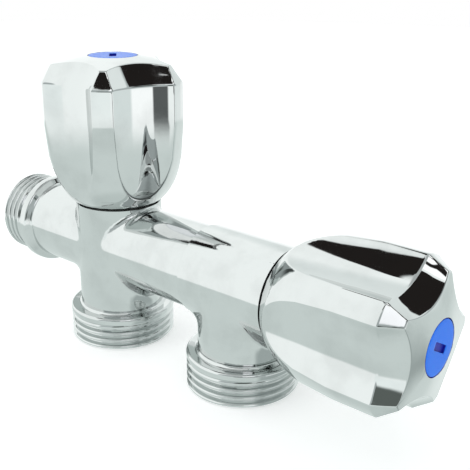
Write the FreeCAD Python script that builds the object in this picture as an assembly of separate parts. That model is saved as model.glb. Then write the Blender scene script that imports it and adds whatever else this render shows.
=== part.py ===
"""Double appliance tap: one male inlet, two male hose outlets and two hand wheels. Millimetres.

The origin is the centre of the inlet's end face. +X runs along the barrel to the end hand wheel,
+Z is up, away from the outlets, and the barrel's axis is the X axis. Both valves are modelled shut.
Each valve head is built on its own axis, with h counted outwards from the barrel's axis, and is
then placed twice: upright over the first outlet, and along +X over the second.
"""
import FreeCAD, Part
import math
import os

VEC = FreeCAD.Vector
ORIGIN = VEC(0, 0, 0)
UP = VEC(0, 0, 1)
ALONG = VEC(1, 0, 0)

# Layout of the two castings
VALVE_1_X = 35.6          # inlet end face to the first valve's axis
OUTLET_PITCH = 41.1       # first outlet's axis to the second's
HEAD_2_STEP = 1.4         # second valve's head past its outlet's axis
OUTLET_DROP = 25.3        # barrel axis down to the outlets' end faces
NECK_STANDOFF = 0.8       # each neck's end face past the first casting's barrel
SEAM_TO_OUTLET_2 = 11.1   # joint between the castings to the second outlet's axis
BARREL_BORE_R = 7.0
SOCKET_WALL = 1.45        # first casting's wall around the second's spigot
NECK_WALL = 2.33          # wall around each bonnet's thread
CHAMBER_STEP = 0.3        # how much narrower the chamber is than the bonnet's thread
SEAT_ROOM = 1.0           # barrel's bore down to the seat's lip
SEAT_HOLE_R = 4.5
SEAT_LIP_WIDTH = 1.0
SEAT_LIP_HEIGHT = 0.8
SEAT_THICKNESS = 2.0
SPIGOT_LENGTH = 8.0       # how far the second casting reaches into the first
SPIGOT_WALL = 1.55
BRAZE_GAP = 0.05
SEAM_CHAMFER = 0.25
FACING_DEPTH = 0.05       # second outlet's column behind the second neck's end face

# Pipe threads: radius over the crests, pitch, depth and crest flat
INLET_R = 10.45           # G1/2, crests turned down a little
INLET_THREAD_LENGTH = 7.6
OUTLET_R = 13.22          # G3/4
OUTLET_THREAD_LENGTH = 7.1
OUTLET_BORE_R = 8.0
PIPE_PITCH = 1.814
PIPE_DEPTH = 0.95
CREST_FLAT = 0.35
ROOT_FLAT = 0.25
END_CHAMFER = 0.4

# Collars behind the pipe threads
INLET_COLLAR_R = 11.6
INLET_COLLAR_WIDTH = 2.6
INLET_COLLAR_SLOPE = 1.3
OUTLET_COLLAR_R = 13.3
OUTLET_COLLAR_WIDTH = 1.6
OUTLET_COLLAR_ROUND = 0.8

# Hand wheel
HANDLE_GAP = 0.3          # neck's end face to the hand wheel's skirt
HANDLE_SKIRT_STEP = 0.13  # how far the skirt's edge lies inside the neck's outside
HANDLE_BODY_R = 17.05     # over the ridges
HANDLE_ROUND_LENGTH = 19.75   # axial length of the rounded lower body
HANDLE_ROUND_DEPTH = 9.0  # radial half-axis of the rounded lower body
HANDLE_SIDE_LENGTH = 9.8  # straight side, up to the shoulder
HANDLE_CHAMFER_LENGTH = 4.05
HANDLE_CHAMFER_DEPTH = 2.47
HANDLE_CROWN = 1.65       # how far the end face rises from its rim to the disc
FLUTE_COUNT = 5
FLUTE_R = 16.0
FLUTE_DEPTH = 4.05
HANDLE_WALL = 2.0
SKIRT_WALL = 0.85
HUB_WALL = 1.1
HUB_RIB = 1.4
RECESS_R = 5.0            # around the screw's head
WEB_THICKNESS = 2.0
HANDLE_1_TURN = -51.0     # where a ridge lies, in degrees about each valve's axis
HANDLE_2_TURN = 233.2

# Index disc
DISC_R = 5.85
DISC_THICKNESS = 1.3
DISC_GAP = 0.08
DISC_STEM_LENGTH = 2.2
DISC_STEM_WALL = 0.9
PRISE_SLOT_LENGTH = 5.3
PRISE_SLOT_WIDTH = 1.7
PRISE_SLOT_DEPTH = 0.5
PRISE_SLOT_TURN = 7.7     # slot's long side from a ridge, in degrees

# Headwork: spindle, bonnet and plug
LIFT = 5.0                # travel of the plug off its seat
SPINDLE_R = 4.0
SPLINE_LENGTH = 7.0
SPLINE_TEETH = 20
SPLINE_DEPTH = 0.35
LIFT_SCREW_STEP = 0.5     # how much thinner the lifting screw is than the spindle
COLLAR_STEP = 0.9         # how far the collar stands out from the spindle
COLLAR_THICKNESS = 1.5
THRUST_THICKNESS = 0.6
RUNNING = 0.05            # radial clearance of everything that turns or slides
SEAL_CORD_R = 0.6
SEAL_GROOVE_DEPTH = 1.2
SEAL_GROOVE_WIDTH = 1.4
SEAL_SPACING = 3.2
CLIP_THICKNESS = 0.7
CLIP_R = 5.4
CLIP_GROOVE_DEPTH = 1.0
CLIP_MOUTH = 4.2
CARRIER_ROOM = 1.0        # chamber's wall to the carrier's flange
CARRIER_FLANGE_THICKNESS = 2.0
CARRIER_FLOOR = 3.5       # solid length behind the washer
CARRIER_NUT_LENGTH = 12.5  # bore length over the floor
WASHER_STEP = 0.4         # how much smaller the rubber washer is than the carrier's flange
WASHER_THICKNESS = 3.0
WASHER_SCREW_R = 2.0
WASHER_SCREW_HEAD_R = 3.3
WASHER_SCREW_HEAD = 1.5
WASHER_SCREW_LENGTH = 3.0
BONNET_THREAD_R = 8.3     # G3/8
BONNET_ENGAGEMENT = 7.7
BONNET_FLANGE_GAP = 0.3   # inside the hand wheel's skirt
BONNET_FLANGE_THICKNESS = 0.9
BONNET_HEX_INSET = 0.69   # flange's edge to the hexagon's corners
BONNET_HEX_HEIGHT = 4.3
SLEEVE_WALL = 2.0
SLEEVE_LENGTH = 9.6
SHOULDER_THICKNESS = 0.9
GASKET_THICKNESS = 0.8
THREAD_GAP = 0.04
HEX_GAP = 0.1
HANDLE_SCREW_R = 2.0      # M4
HANDLE_SCREW_LENGTH = 10.0
HANDLE_SCREW_HEAD_R = 3.6
HANDLE_SCREW_HEAD = 2.4
SCREW_SLOT_WIDTH = 0.8
HUB_CLEARANCE = 1.2       # hub's foot over the clip
SLACK = 0.2               # axial room between parts that pass each other

# Radii that follow from what they fit
INLET_BARREL_R = BARREL_BORE_R + SPIGOT_WALL + BRAZE_GAP + SOCKET_WALL
COLUMN_R = BONNET_THREAD_R + NECK_WALL
CHAMBER_R = BONNET_THREAD_R - CHAMBER_STEP
HANDLE_SKIRT_R = COLUMN_R - HANDLE_SKIRT_STEP
SKIRT_MOUTH_R = HANDLE_SKIRT_R - SKIRT_WALL
FLUTE_MIN_R = HANDLE_BODY_R - FLUTE_DEPTH
FLUTE_CENTRE_R = FLUTE_MIN_R + FLUTE_R
LIFT_SCREW_R = SPINDLE_R - LIFT_SCREW_STEP
COLLAR_R = SPINDLE_R + COLLAR_STEP
CARRIER_FLATS = 2 * (COLLAR_R + RUNNING)
CARRIER_FLANGE_R = CHAMBER_R - CARRIER_ROOM
WASHER_R = CARRIER_FLANGE_R - WASHER_STEP
BONNET_FLANGE_R = SKIRT_MOUTH_R - BONNET_FLANGE_GAP
BONNET_FLATS = (BONNET_FLANGE_R - BONNET_HEX_INSET) * math.sqrt(3)

# Places on the X axis
OUTLET_2_X = VALVE_1_X + OUTLET_PITCH
HEAD_2_X = OUTLET_2_X + HEAD_2_STEP
SEAM_X = OUTLET_2_X - SEAM_TO_OUTLET_2

# Places along a valve's own axis, h = 0 on the barrel's axis
NECK_HEIGHT = INLET_BARREL_R + NECK_STANDOFF
SEAT_DEPTH = BARREL_BORE_R + SEAT_ROOM
WASHER_FOOT = -SEAT_DEPTH
CARRIER_FOOT = WASHER_FOOT + WASHER_THICKNESS
CARRIER_BORE_FOOT = CARRIER_FOOT + CARRIER_FLOOR
CARRIER_TOP = CARRIER_BORE_FOOT + CARRIER_NUT_LENGTH
BONNET_FOOT = NECK_HEIGHT - BONNET_ENGAGEMENT
SCREW_FOOT = CARRIER_BORE_FOOT + LIFT + SLACK
COLLAR_FOOT = CARRIER_TOP + LIFT + SLACK
COLLAR_TOP = COLLAR_FOOT + COLLAR_THICKNESS
THRUST_TOP = COLLAR_TOP + THRUST_THICKNESS
FLANGE_FOOT = NECK_HEIGHT + GASKET_THICKNESS
FLANGE_TOP = FLANGE_FOOT + BONNET_FLANGE_THICKNESS
HEX_TOP = FLANGE_TOP + BONNET_HEX_HEIGHT
SLEEVE_TOP = THRUST_TOP + SLEEVE_LENGTH
CLIP_FOOT = SLEEVE_TOP + SLACK
CLIP_TOP = CLIP_FOOT + CLIP_THICKNESS
HUB_FOOT = CLIP_TOP + HUB_CLEARANCE
SPINDLE_TOP = HUB_FOOT + SPLINE_LENGTH
WEB_TOP = SPINDLE_TOP + WEB_THICKNESS
HANDLE_FOOT = NECK_HEIGHT + HANDLE_GAP
ROUND_TOP = HANDLE_FOOT + HANDLE_ROUND_LENGTH
SHOULDER = ROUND_TOP + HANDLE_SIDE_LENGTH
RIM = SHOULDER + HANDLE_CHAMFER_LENGTH
FACE = RIM + HANDLE_CROWN


def cylinder(radius, foot, top):
    """A solid cylinder on the Z axis, from foot to top."""
    return Part.makeCylinder(radius, top - foot, VEC(0, 0, foot), UP)


def tube(outer, inner, foot, top):
    """A hollow cylinder on the Z axis."""
    return cylinder(outer, foot, top).cut(cylinder(inner, foot - 1, top + 1))


def hexagon(flats, foot, top):
    """A hexagonal bar on the Z axis, measured across its flats."""
    corner = flats / math.sqrt(3)
    corners = []
    for i in range(7):
        turn = math.radians(60 * i)
        corners.append(VEC(corner * math.cos(turn), corner * math.sin(turn), foot))
    return Part.Face(Part.makePolygon(corners)).extrude(VEC(0, 0, top - foot))


def lathe(outline):
    """Turn a closed outline of (radius, height) points once about the Z axis."""
    points = [VEC(r, 0, h) for r, h in outline]
    points.append(points[0])
    return Part.Face(Part.makePolygon(points)).revolve(ORIGIN, UP, 360)


def thread_outline(crest, end, start, pitch, depth):
    """Points of a thread's teeth along +h from end to start, with a chamfered first crest."""
    flank = (pitch - CREST_FLAT - ROOT_FLAT) / 2
    points = [(crest - END_CHAMFER, end), (crest, end + END_CHAMFER)]
    h = end + END_CHAMFER + CREST_FLAT
    while h + 2 * flank + ROOT_FLAT < start:
        points.append((crest, h))
        points.append((crest - depth, h + flank))
        points.append((crest - depth, h + flank + ROOT_FLAT))
        points.append((crest, h + 2 * flank + ROOT_FLAT))
        h += pitch
    return points


def pipe_end(crest, length, collar):
    """A threaded pipe end from h = 0 upwards: teeth, then the collar's (radius, h) points."""
    teeth = thread_outline(crest, 0, length, PIPE_PITCH, PIPE_DEPTH)
    return lathe([(0, 0)] + teeth + [(crest, length)] + collar + [(0, collar[-1][1])])


def outlet_end(x):
    """A hose outlet's thread and collar, pointing down under the barrel at x."""
    top = OUTLET_THREAD_LENGTH + OUTLET_COLLAR_WIDTH
    collar = [
        (OUTLET_COLLAR_R, OUTLET_THREAD_LENGTH),
        (OUTLET_COLLAR_R, top - OUTLET_COLLAR_ROUND),
        (OUTLET_COLLAR_R - OUTLET_COLLAR_ROUND, top),
    ]
    end = pipe_end(OUTLET_R, OUTLET_THREAD_LENGTH, collar)
    end.translate(VEC(x, 0, -OUTLET_DROP))
    return end


def inlet_end():
    """The inlet's thread and collar, pointing along -X from the origin."""
    foot = INLET_THREAD_LENGTH
    top = foot + INLET_COLLAR_SLOPE + INLET_COLLAR_WIDTH
    collar = [
        (INLET_COLLAR_R, foot + INLET_COLLAR_SLOPE),
        (INLET_COLLAR_R, top - INLET_COLLAR_SLOPE / 2),
        (INLET_BARREL_R, top + INLET_COLLAR_SLOPE / 2),
    ]
    end = pipe_end(INLET_R, INLET_THREAD_LENGTH, collar)
    end.rotate(ORIGIN, VEC(0, 1, 0), 90)
    return end


def chamber():
    """What is cut from a casting around a valve: bonnet thread, chamber and seat hole."""
    room = cylinder(CHAMBER_R, -SEAT_DEPTH - SEAT_LIP_HEIGHT, NECK_HEIGHT + 1)
    lip = tube(SEAT_HOLE_R + SEAT_LIP_WIDTH, SEAT_HOLE_R, -2 * SEAT_DEPTH, -SEAT_DEPTH)
    room = room.cut(lip)
    room = room.fuse(cylinder(BONNET_THREAD_R + THREAD_GAP, BONNET_FOOT, NECK_HEIGHT + 1))
    floor = -SEAT_DEPTH - SEAT_LIP_HEIGHT - SEAT_THICKNESS
    return room.fuse(cylinder(SEAT_HOLE_R, floor - 1, 0))


def upright(shape, x):
    """Place a shape built on a valve's axis over the first kind of valve, pointing up at x."""
    placed = shape.copy()
    placed.translate(VEC(x, 0, 0))
    return placed


def lying(shape, x):
    """Place a shape built on a valve's axis so that its axis points along +X from x."""
    placed = shape.copy()
    placed.rotate(ORIGIN, VEC(0, 1, 0), 90)
    placed.translate(VEC(x, 0, 0))
    return placed


def bar(radius, start, end):
    """A solid cylinder on the X axis."""
    return Part.makeCylinder(radius, end - start, VEC(start, 0, 0), ALONG)


def inlet_tee():
    """First casting: inlet, barrel, first valve column, first outlet and the joint's socket."""
    seat_floor = -SEAT_DEPTH - SEAT_LIP_HEIGHT - SEAT_THICKNESS
    body = bar(INLET_BARREL_R, INLET_THREAD_LENGTH, SEAM_X - SEAM_CHAMFER)
    body = body.fuse(lying(Part.makeCone(INLET_BARREL_R, INLET_BARREL_R - SEAM_CHAMFER, SEAM_CHAMFER),
                           SEAM_X - SEAM_CHAMFER))
    body = body.fuse(upright(cylinder(COLUMN_R, -OUTLET_DROP + 1, NECK_HEIGHT), VALVE_1_X))
    body = body.fuse([inlet_end(), outlet_end(VALVE_1_X)])
    outlet_bore = cylinder(OUTLET_BORE_R, -OUTLET_DROP - 1, seat_floor)
    body = body.cut(upright(outlet_bore, VALVE_1_X))
    body = body.cut(upright(chamber(), VALVE_1_X))
    body = body.cut(bar(BARREL_BORE_R, -1, SEAM_X + 1))
    socket_r = BARREL_BORE_R + SPIGOT_WALL + BRAZE_GAP
    return body.cut(bar(socket_r, SEAM_X - SPIGOT_LENGTH - BRAZE_GAP, SEAM_X + 1)).removeSplitter()


def end_tee():
    """Second casting: spigot, barrel end, second seat, neck for the bonnet and second outlet."""
    chamfer = Part.makeCone(COLUMN_R - SEAM_CHAMFER, COLUMN_R, SEAM_CHAMFER)
    neck_face = HEAD_2_X + NECK_HEIGHT
    body = bar(COLUMN_R, SEAM_X + SEAM_CHAMFER, neck_face)
    body = body.fuse(lying(chamfer, SEAM_X))
    body = body.fuse(bar(BARREL_BORE_R + SPIGOT_WALL, SEAM_X - SPIGOT_LENGTH, SEAM_X + 1))
    # the column stays behind the neck's end face, so that the hand wheel clears it
    column = upright(cylinder(COLUMN_R, -OUTLET_DROP + 1, 0), OUTLET_2_X)
    column = column.common(bar(2 * OUTLET_DROP, SEAM_X, neck_face - FACING_DEPTH))
    body = body.fuse([column, outlet_end(OUTLET_2_X)])
    seat_floor = HEAD_2_X - SEAT_DEPTH - SEAT_LIP_HEIGHT - SEAT_THICKNESS
    body = body.cut(bar(BARREL_BORE_R, SEAM_X - SPIGOT_LENGTH - 1, seat_floor))
    body = body.cut(lying(chamber(), HEAD_2_X))
    outlet_bore = cylinder(OUTLET_BORE_R - BRAZE_GAP, -OUTLET_DROP - 1, 0)
    return body.cut(upright(outlet_bore, OUTLET_2_X)).removeSplitter()


def handle_form(inset):
    """The hand wheel's outside, drawn in by inset: a rounded body with flutes cut into it."""
    foot = HANDLE_FOOT - inset
    centre_r = HANDLE_BODY_R - HANDLE_ROUND_DEPTH
    # the lower body is part of an ellipse that starts at the skirt and ends upright at ROUND_TOP
    sine = (HANDLE_SKIRT_R - centre_r) / HANDLE_ROUND_DEPTH
    half_length = HANDLE_ROUND_LENGTH / math.sqrt(1 - sine * sine)
    start = math.asin(sine)
    low = ROUND_TOP - half_length * math.cos(start)
    points = [VEC(0, 0, foot), VEC(HANDLE_SKIRT_R - inset, 0, foot)]
    if inset:
        points.append(VEC(HANDLE_SKIRT_R - inset, 0, low))
    edges = [Part.LineSegment(a, b).toShape() for a, b in zip(points, points[1:])]
    arc = []
    for i in range(9):
        turn = start + (math.pi / 2 - start) * i / 8
        arc.append(VEC(centre_r - inset + HANDLE_ROUND_DEPTH * math.sin(turn), 0,
                       ROUND_TOP - half_length * math.cos(turn)))
    curve = Part.BSplineCurve()
    curve.interpolate(arc, InitialTangent=VEC(HANDLE_ROUND_DEPTH * math.cos(start), 0,
                                              half_length * math.sin(start)),
                      FinalTangent=UP)
    edges.append(curve.toShape())
    side = HANDLE_BODY_R - inset
    upper = [
        arc[-1],
        VEC(side, 0, SHOULDER),
        VEC(side - HANDLE_CHAMFER_DEPTH, 0, RIM - inset),
        VEC(DISC_R + DISC_GAP, 0, FACE - inset),
        VEC(0, 0, FACE - inset),
        VEC(0, 0, foot),
    ]
    edges += [Part.LineSegment(a, b).toShape() for a, b in zip(upper, upper[1:])]
    form = Part.Face(Part.Wire(edges)).revolve(ORIGIN, UP, 360)
    cutter = cylinder(FLUTE_R + inset, foot - 1, SHOULDER)
    # past the rim the flutes run on at the chamfer's slope until they leave the crowned face
    slope = HANDLE_CHAMFER_DEPTH / (RIM - inset - SHOULDER)
    cone_length = FACE - inset - SHOULDER
    cutter = cutter.fuse(Part.makeCone(FLUTE_R + inset, FLUTE_R + inset + slope * cone_length, cone_length,
                                       VEC(0, 0, SHOULDER), UP))
    for i in range(FLUTE_COUNT):
        turn = math.radians((i + 0.5) * 360 / FLUTE_COUNT)
        flute = cutter.copy()
        flute.translate(VEC(FLUTE_CENTRE_R * math.cos(turn), FLUTE_CENTRE_R * math.sin(turn), 0))
        form = form.cut(flute)
    return form


def handle():
    """Hand wheel: fluted shell, hub with a splined socket, ribs and the disc's recess."""
    shell = handle_form(0).cut(handle_form(HANDLE_WALL))
    shell = shell.cut(cylinder(SKIRT_MOUTH_R, HANDLE_FOOT - 1, HEX_TOP + SLACK))
    hub_r = DISC_R + DISC_GAP + HUB_WALL
    hub = cylinder(hub_r, HUB_FOOT, FACE - HANDLE_WALL / 2)
    for i in range(FLUTE_COUNT):
        rib = Part.makeBox(HANDLE_BODY_R - HANDLE_WALL / 2, HUB_RIB, FACE - HANDLE_WALL / 2 - SPINDLE_TOP,
                           VEC(0, -HUB_RIB / 2, SPINDLE_TOP))
        rib.rotate(ORIGIN, UP, i * 360 / FLUTE_COUNT)
        hub = hub.fuse(rib.common(handle_form(HANDLE_WALL / 2)))
    wheel = shell.fuse(hub)
    wheel = wheel.cut(splined_bar(HUB_FOOT - 1, SPINDLE_TOP, THREAD_GAP))
    wheel = wheel.cut(cylinder(HANDLE_SCREW_R + SLACK, SPINDLE_TOP - 1, WEB_TOP + 1))
    wheel = wheel.cut(cylinder(RECESS_R, WEB_TOP, FACE))
    return wheel.cut(cylinder(DISC_R + DISC_GAP, FACE - DISC_THICKNESS, FACE + 1)).removeSplitter()


def splined_bar(foot, top, gap=0):
    """The spindle's splined end, or with a gap all round, the form of the socket that takes it."""
    shape = cylinder(SPINDLE_R + gap, foot, top)
    width = math.pi * SPINDLE_R / SPLINE_TEETH - 2 * gap
    groove = Part.makeBox(2 * SPLINE_DEPTH, width, top - foot,
                          VEC(SPINDLE_R - SPLINE_DEPTH + gap, -width / 2, foot))
    for i in range(SPLINE_TEETH):
        cut = groove.copy()
        cut.rotate(ORIGIN, UP, i * 360 / SPLINE_TEETH)
        shape = shape.cut(cut)
    return shape


def index_disc():
    """Blue disc flush in the hand wheel's face, with a snap ring below and a prising slot."""
    foot = FACE - DISC_THICKNESS
    disc = cylinder(DISC_R, foot, FACE)
    stem_r = RECESS_R - DISC_GAP
    disc = disc.fuse(tube(stem_r, stem_r - DISC_STEM_WALL, foot - DISC_STEM_LENGTH, foot))
    slot = Part.makeBox(PRISE_SLOT_LENGTH, PRISE_SLOT_WIDTH, PRISE_SLOT_DEPTH,
                        VEC(-PRISE_SLOT_LENGTH / 2, -PRISE_SLOT_WIDTH / 2, FACE - PRISE_SLOT_DEPTH))
    slot.rotate(ORIGIN, UP, PRISE_SLOT_TURN)
    return disc.cut(slot)


def slotted_screw(radius, length, head_r, head_height):
    """A cheese-head screw, its head's underside at h = 0 and its shank below."""
    screw = cylinder(radius, -length, 0).fuse(cylinder(head_r, 0, head_height))
    slot = Part.makeBox(2 * head_r, SCREW_SLOT_WIDTH, head_height,
                        VEC(-head_r, -SCREW_SLOT_WIDTH / 2, head_height / 2))
    return screw.cut(slot).removeSplitter()


def handle_screw():
    """Screw through the hand wheel's web into the spindle's end."""
    screw = slotted_screw(HANDLE_SCREW_R, HANDLE_SCREW_LENGTH, HANDLE_SCREW_HEAD_R, HANDLE_SCREW_HEAD)
    screw.translate(VEC(0, 0, WEB_TOP))
    return screw


def spindle():
    """Spindle: lifting screw, collar, sealed journal with two grooves, clip groove and splines."""
    shape = cylinder(LIFT_SCREW_R, SCREW_FOOT, COLLAR_FOOT)
    shape = shape.fuse(cylinder(COLLAR_R, COLLAR_FOOT, COLLAR_TOP))
    shape = shape.fuse(cylinder(SPINDLE_R, COLLAR_TOP, HUB_FOOT))
    shape = shape.fuse(splined_bar(HUB_FOOT, SPINDLE_TOP))
    for h in seal_places():
        foot = h - SEAL_GROOVE_WIDTH / 2
        shape = shape.cut(tube(SPINDLE_R + 1, SPINDLE_R - SEAL_GROOVE_DEPTH, foot, foot + SEAL_GROOVE_WIDTH))
    shape = shape.cut(tube(SPINDLE_R + 1, SPINDLE_R - CLIP_GROOVE_DEPTH, CLIP_FOOT, CLIP_TOP + RUNNING))
    tapped = HANDLE_SCREW_LENGTH - WEB_THICKNESS + SLACK
    return shape.cut(cylinder(HANDLE_SCREW_R + THREAD_GAP, SPINDLE_TOP - tapped, SPINDLE_TOP + 1))


def seal_places():
    """Heights of the two seals: evenly spaced about the middle of the bonnet's sleeve."""
    middle = (THRUST_TOP + SHOULDER_THICKNESS + SLEEVE_TOP) / 2
    return middle + SEAL_SPACING / 2, middle - SEAL_SPACING / 2


def spindle_seal(h):
    """An O-ring in one of the spindle's grooves, just clear of the sleeve's bore."""
    ring_r = SPINDLE_R + RUNNING / 2 - SEAL_CORD_R
    return Part.makeTorus(ring_r, SEAL_CORD_R, VEC(0, 0, h), UP)


def spindle_clip():
    """Open retaining clip in the spindle's groove."""
    clip = tube(CLIP_R, SPINDLE_R - CLIP_GROOVE_DEPTH + RUNNING, CLIP_FOOT, CLIP_TOP)
    mouth = Part.makeBox(CLIP_R + 1, CLIP_MOUTH, CLIP_THICKNESS + 2, VEC(0, -CLIP_MOUTH / 2, CLIP_FOOT - 1))
    return clip.cut(mouth)


def thrust_washer():
    """Slip ring between the spindle's collar and the bonnet's shoulder."""
    return tube(COLLAR_R, SPINDLE_R + RUNNING, COLLAR_TOP, THRUST_TOP)


def bonnet():
    """Headwork body: threaded shank, flange, hexagon and sleeve around a hexagonal guide."""
    sleeve_r = SPINDLE_R + RUNNING + SLEEVE_WALL
    teeth = thread_outline(BONNET_THREAD_R, BONNET_FOOT, NECK_HEIGHT, PIPE_PITCH * 14 / 19, PIPE_DEPTH * 0.7)
    body = lathe([(0, BONNET_FOOT)] + teeth + [(BONNET_THREAD_R, FLANGE_FOOT), (0, FLANGE_FOOT)])
    body = body.fuse(cylinder(BONNET_FLANGE_R, FLANGE_FOOT, FLANGE_TOP))
    body = body.fuse(hexagon(BONNET_FLATS, FLANGE_TOP, HEX_TOP))
    guide_corner = (CARRIER_FLATS + 2 * HEX_GAP) / math.sqrt(3)
    guide_wall = guide_corner + SLEEVE_WALL / 2
    body = body.fuse(cylinder(guide_wall, HEX_TOP, THRUST_TOP + SHOULDER_THICKNESS))
    body = body.fuse(cylinder(sleeve_r, THRUST_TOP, SLEEVE_TOP))
    body = body.cut(hexagon(CARRIER_FLATS + 2 * HEX_GAP, BONNET_FOOT - 1, THRUST_TOP))
    return body.cut(cylinder(SPINDLE_R + RUNNING, THRUST_TOP - 1, SLEEVE_TOP + 1)).removeSplitter()


def bonnet_gasket():
    """Flat sealing ring between the neck and the bonnet's flange."""
    return tube(BONNET_FLANGE_R, BONNET_THREAD_R + THREAD_GAP, NECK_HEIGHT, FLANGE_FOOT)


def valve_carrier():
    """Hexagonal nut on the lifting screw, with a flange over the rubber washer."""
    shape = cylinder(CARRIER_FLANGE_R, CARRIER_FOOT, CARRIER_FOOT + CARRIER_FLANGE_THICKNESS)
    shape = shape.fuse(hexagon(CARRIER_FLATS, CARRIER_FOOT, CARRIER_TOP))
    shape = shape.cut(cylinder(LIFT_SCREW_R + RUNNING, CARRIER_BORE_FOOT, CARRIER_TOP + 1))
    return shape.cut(cylinder(WASHER_SCREW_R + THREAD_GAP, CARRIER_FOOT - 1, CARRIER_BORE_FOOT))


def valve_washer():
    """Rubber disc that closes on the seat's lip."""
    return tube(WASHER_R, WASHER_SCREW_R + THREAD_GAP, WASHER_FOOT, CARRIER_FOOT)


def washer_screw():
    """Screw that holds the rubber disc on the carrier; its head dips into the seat's hole."""
    length = WASHER_THICKNESS + WASHER_SCREW_LENGTH
    screw = slotted_screw(WASHER_SCREW_R, length, WASHER_SCREW_HEAD_R, WASHER_SCREW_HEAD)
    screw.rotate(ORIGIN, ALONG, 180)
    screw.translate(VEC(0, 0, WASHER_FOOT))
    return screw


def valve_head():
    """Every piece of one valve, built on its own axis. The flag says that it turns with the ridges."""
    upper, lower = seal_places()
    return {
        "handle": (handle(), True),
        "index_disc": (index_disc(), True),
        "handle_screw": (handle_screw(), True),
        "spindle": (spindle(), True),
        "spindle_clip": (spindle_clip(), True),
        "upper_spindle_seal": (spindle_seal(upper), False),
        "lower_spindle_seal": (spindle_seal(lower), False),
        "thrust_washer": (thrust_washer(), False),
        "bonnet": (bonnet(), False),
        "bonnet_gasket": (bonnet_gasket(), False),
        "valve_carrier": (valve_carrier(), False),
        "valve_washer": (valve_washer(), False),
        "washer_screw": (washer_screw(), False),
    }


def export(name, shape):
    """Write one node, after checking that it is a single closed solid."""
    if not shape.isValid() or len(shape.Solids) != 1:
        raise ValueError(f"{name} is not one valid solid")
    shape.Solids[0].exportStep(f"parts/{name}.step")


def main():
    """Build both castings and both valve heads, and write one file per piece."""
    os.makedirs("parts", exist_ok=True)
    export("inlet_tee", inlet_tee())
    export("end_tee", end_tee())
    places = ((1, upright, VALVE_1_X, HANDLE_1_TURN), (2, lying, HEAD_2_X, HANDLE_2_TURN))
    head = valve_head()
    for number, place, x, turn in places:
        for name, (shape, turns) in head.items():
            piece = shape.copy()
            if turns:
                piece.rotate(ORIGIN, UP, turn)
            export(f"{name}_{number}", place(piece, x))


main()
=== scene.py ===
"""Double appliance tap: the looks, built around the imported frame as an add-on-shaped script.

Lengths inside the mesh code are millimetres and become metres when a mesh is made. Each valve
head is shaped on its own axis, with h counted outwards from the barrel's axis, and is then placed
upright over the first outlet or lying along +X over the second.
"""
import math

import bmesh
import bpy
import numpy as np
from bpy.props import FloatProperty, FloatVectorProperty, IntProperty, PointerProperty
from mathutils import Matrix, Vector


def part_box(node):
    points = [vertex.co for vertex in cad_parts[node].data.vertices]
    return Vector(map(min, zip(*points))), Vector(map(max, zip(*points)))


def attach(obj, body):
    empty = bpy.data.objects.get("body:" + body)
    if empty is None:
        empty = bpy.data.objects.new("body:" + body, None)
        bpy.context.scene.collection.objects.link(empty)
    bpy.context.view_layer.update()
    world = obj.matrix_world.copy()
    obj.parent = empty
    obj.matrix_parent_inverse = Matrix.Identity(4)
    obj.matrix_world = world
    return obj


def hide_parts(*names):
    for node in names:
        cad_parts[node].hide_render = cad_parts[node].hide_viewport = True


bl_info = {
    "name": "Double Appliance Tap",
    "version": (1, 0, 0),
    "blender": (4, 5, 0),
    "location": "View3D > Sidebar > Tap",
    "description": "Chrome double appliance tap with fluted hand wheels",
    "category": "Object",
}

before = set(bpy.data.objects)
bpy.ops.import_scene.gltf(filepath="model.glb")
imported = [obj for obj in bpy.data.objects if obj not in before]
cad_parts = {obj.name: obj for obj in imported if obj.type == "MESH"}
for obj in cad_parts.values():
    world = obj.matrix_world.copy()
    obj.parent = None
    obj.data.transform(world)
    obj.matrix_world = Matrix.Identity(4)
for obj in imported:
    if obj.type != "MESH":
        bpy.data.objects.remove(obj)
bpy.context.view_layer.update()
MM = 0.001

# Places read from the frame, in millimetres
DISC_LOW, DISC_HIGH = (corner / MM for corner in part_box("index_disc_1"))
TEE_LOW, TEE_HIGH = (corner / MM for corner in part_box("inlet_tee"))
END_LOW, END_HIGH = (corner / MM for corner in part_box("end_tee"))
HANDLE_LOW, HANDLE_HIGH = (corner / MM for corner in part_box("handle_1"))
WHEEL_LOW, WHEEL_HIGH = (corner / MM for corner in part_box("handle_2"))
GASKET_LOW, GASKET_HIGH = (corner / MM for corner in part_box("bonnet_gasket_1"))
COLLAR_R = END_HIGH.y
VALVE_1_X = (DISC_LOW.x + DISC_HIGH.x) / 2
OUTLET_2_X = END_HIGH.x - COLLAR_R
OUTLET_Z = TEE_LOW.z
SEAM_X = TEE_HIGH.x
COLUMN_R = END_HIGH.z
INLET_COLLAR_R = TEE_HIGH.z
NECK = GASKET_LOW.z
HANDLE_FOOT = HANDLE_LOW.z
HANDLE_FACE = HANDLE_HIGH.z
HANDLE_R = WHEEL_HIGH.y
HEAD_2_X = WHEEL_LOW.x - HANDLE_FOOT  # origin of the second valve head
DISC_R = (DISC_HIGH.x - DISC_LOW.x) / 2
DISC_FOOT = DISC_LOW.z


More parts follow.
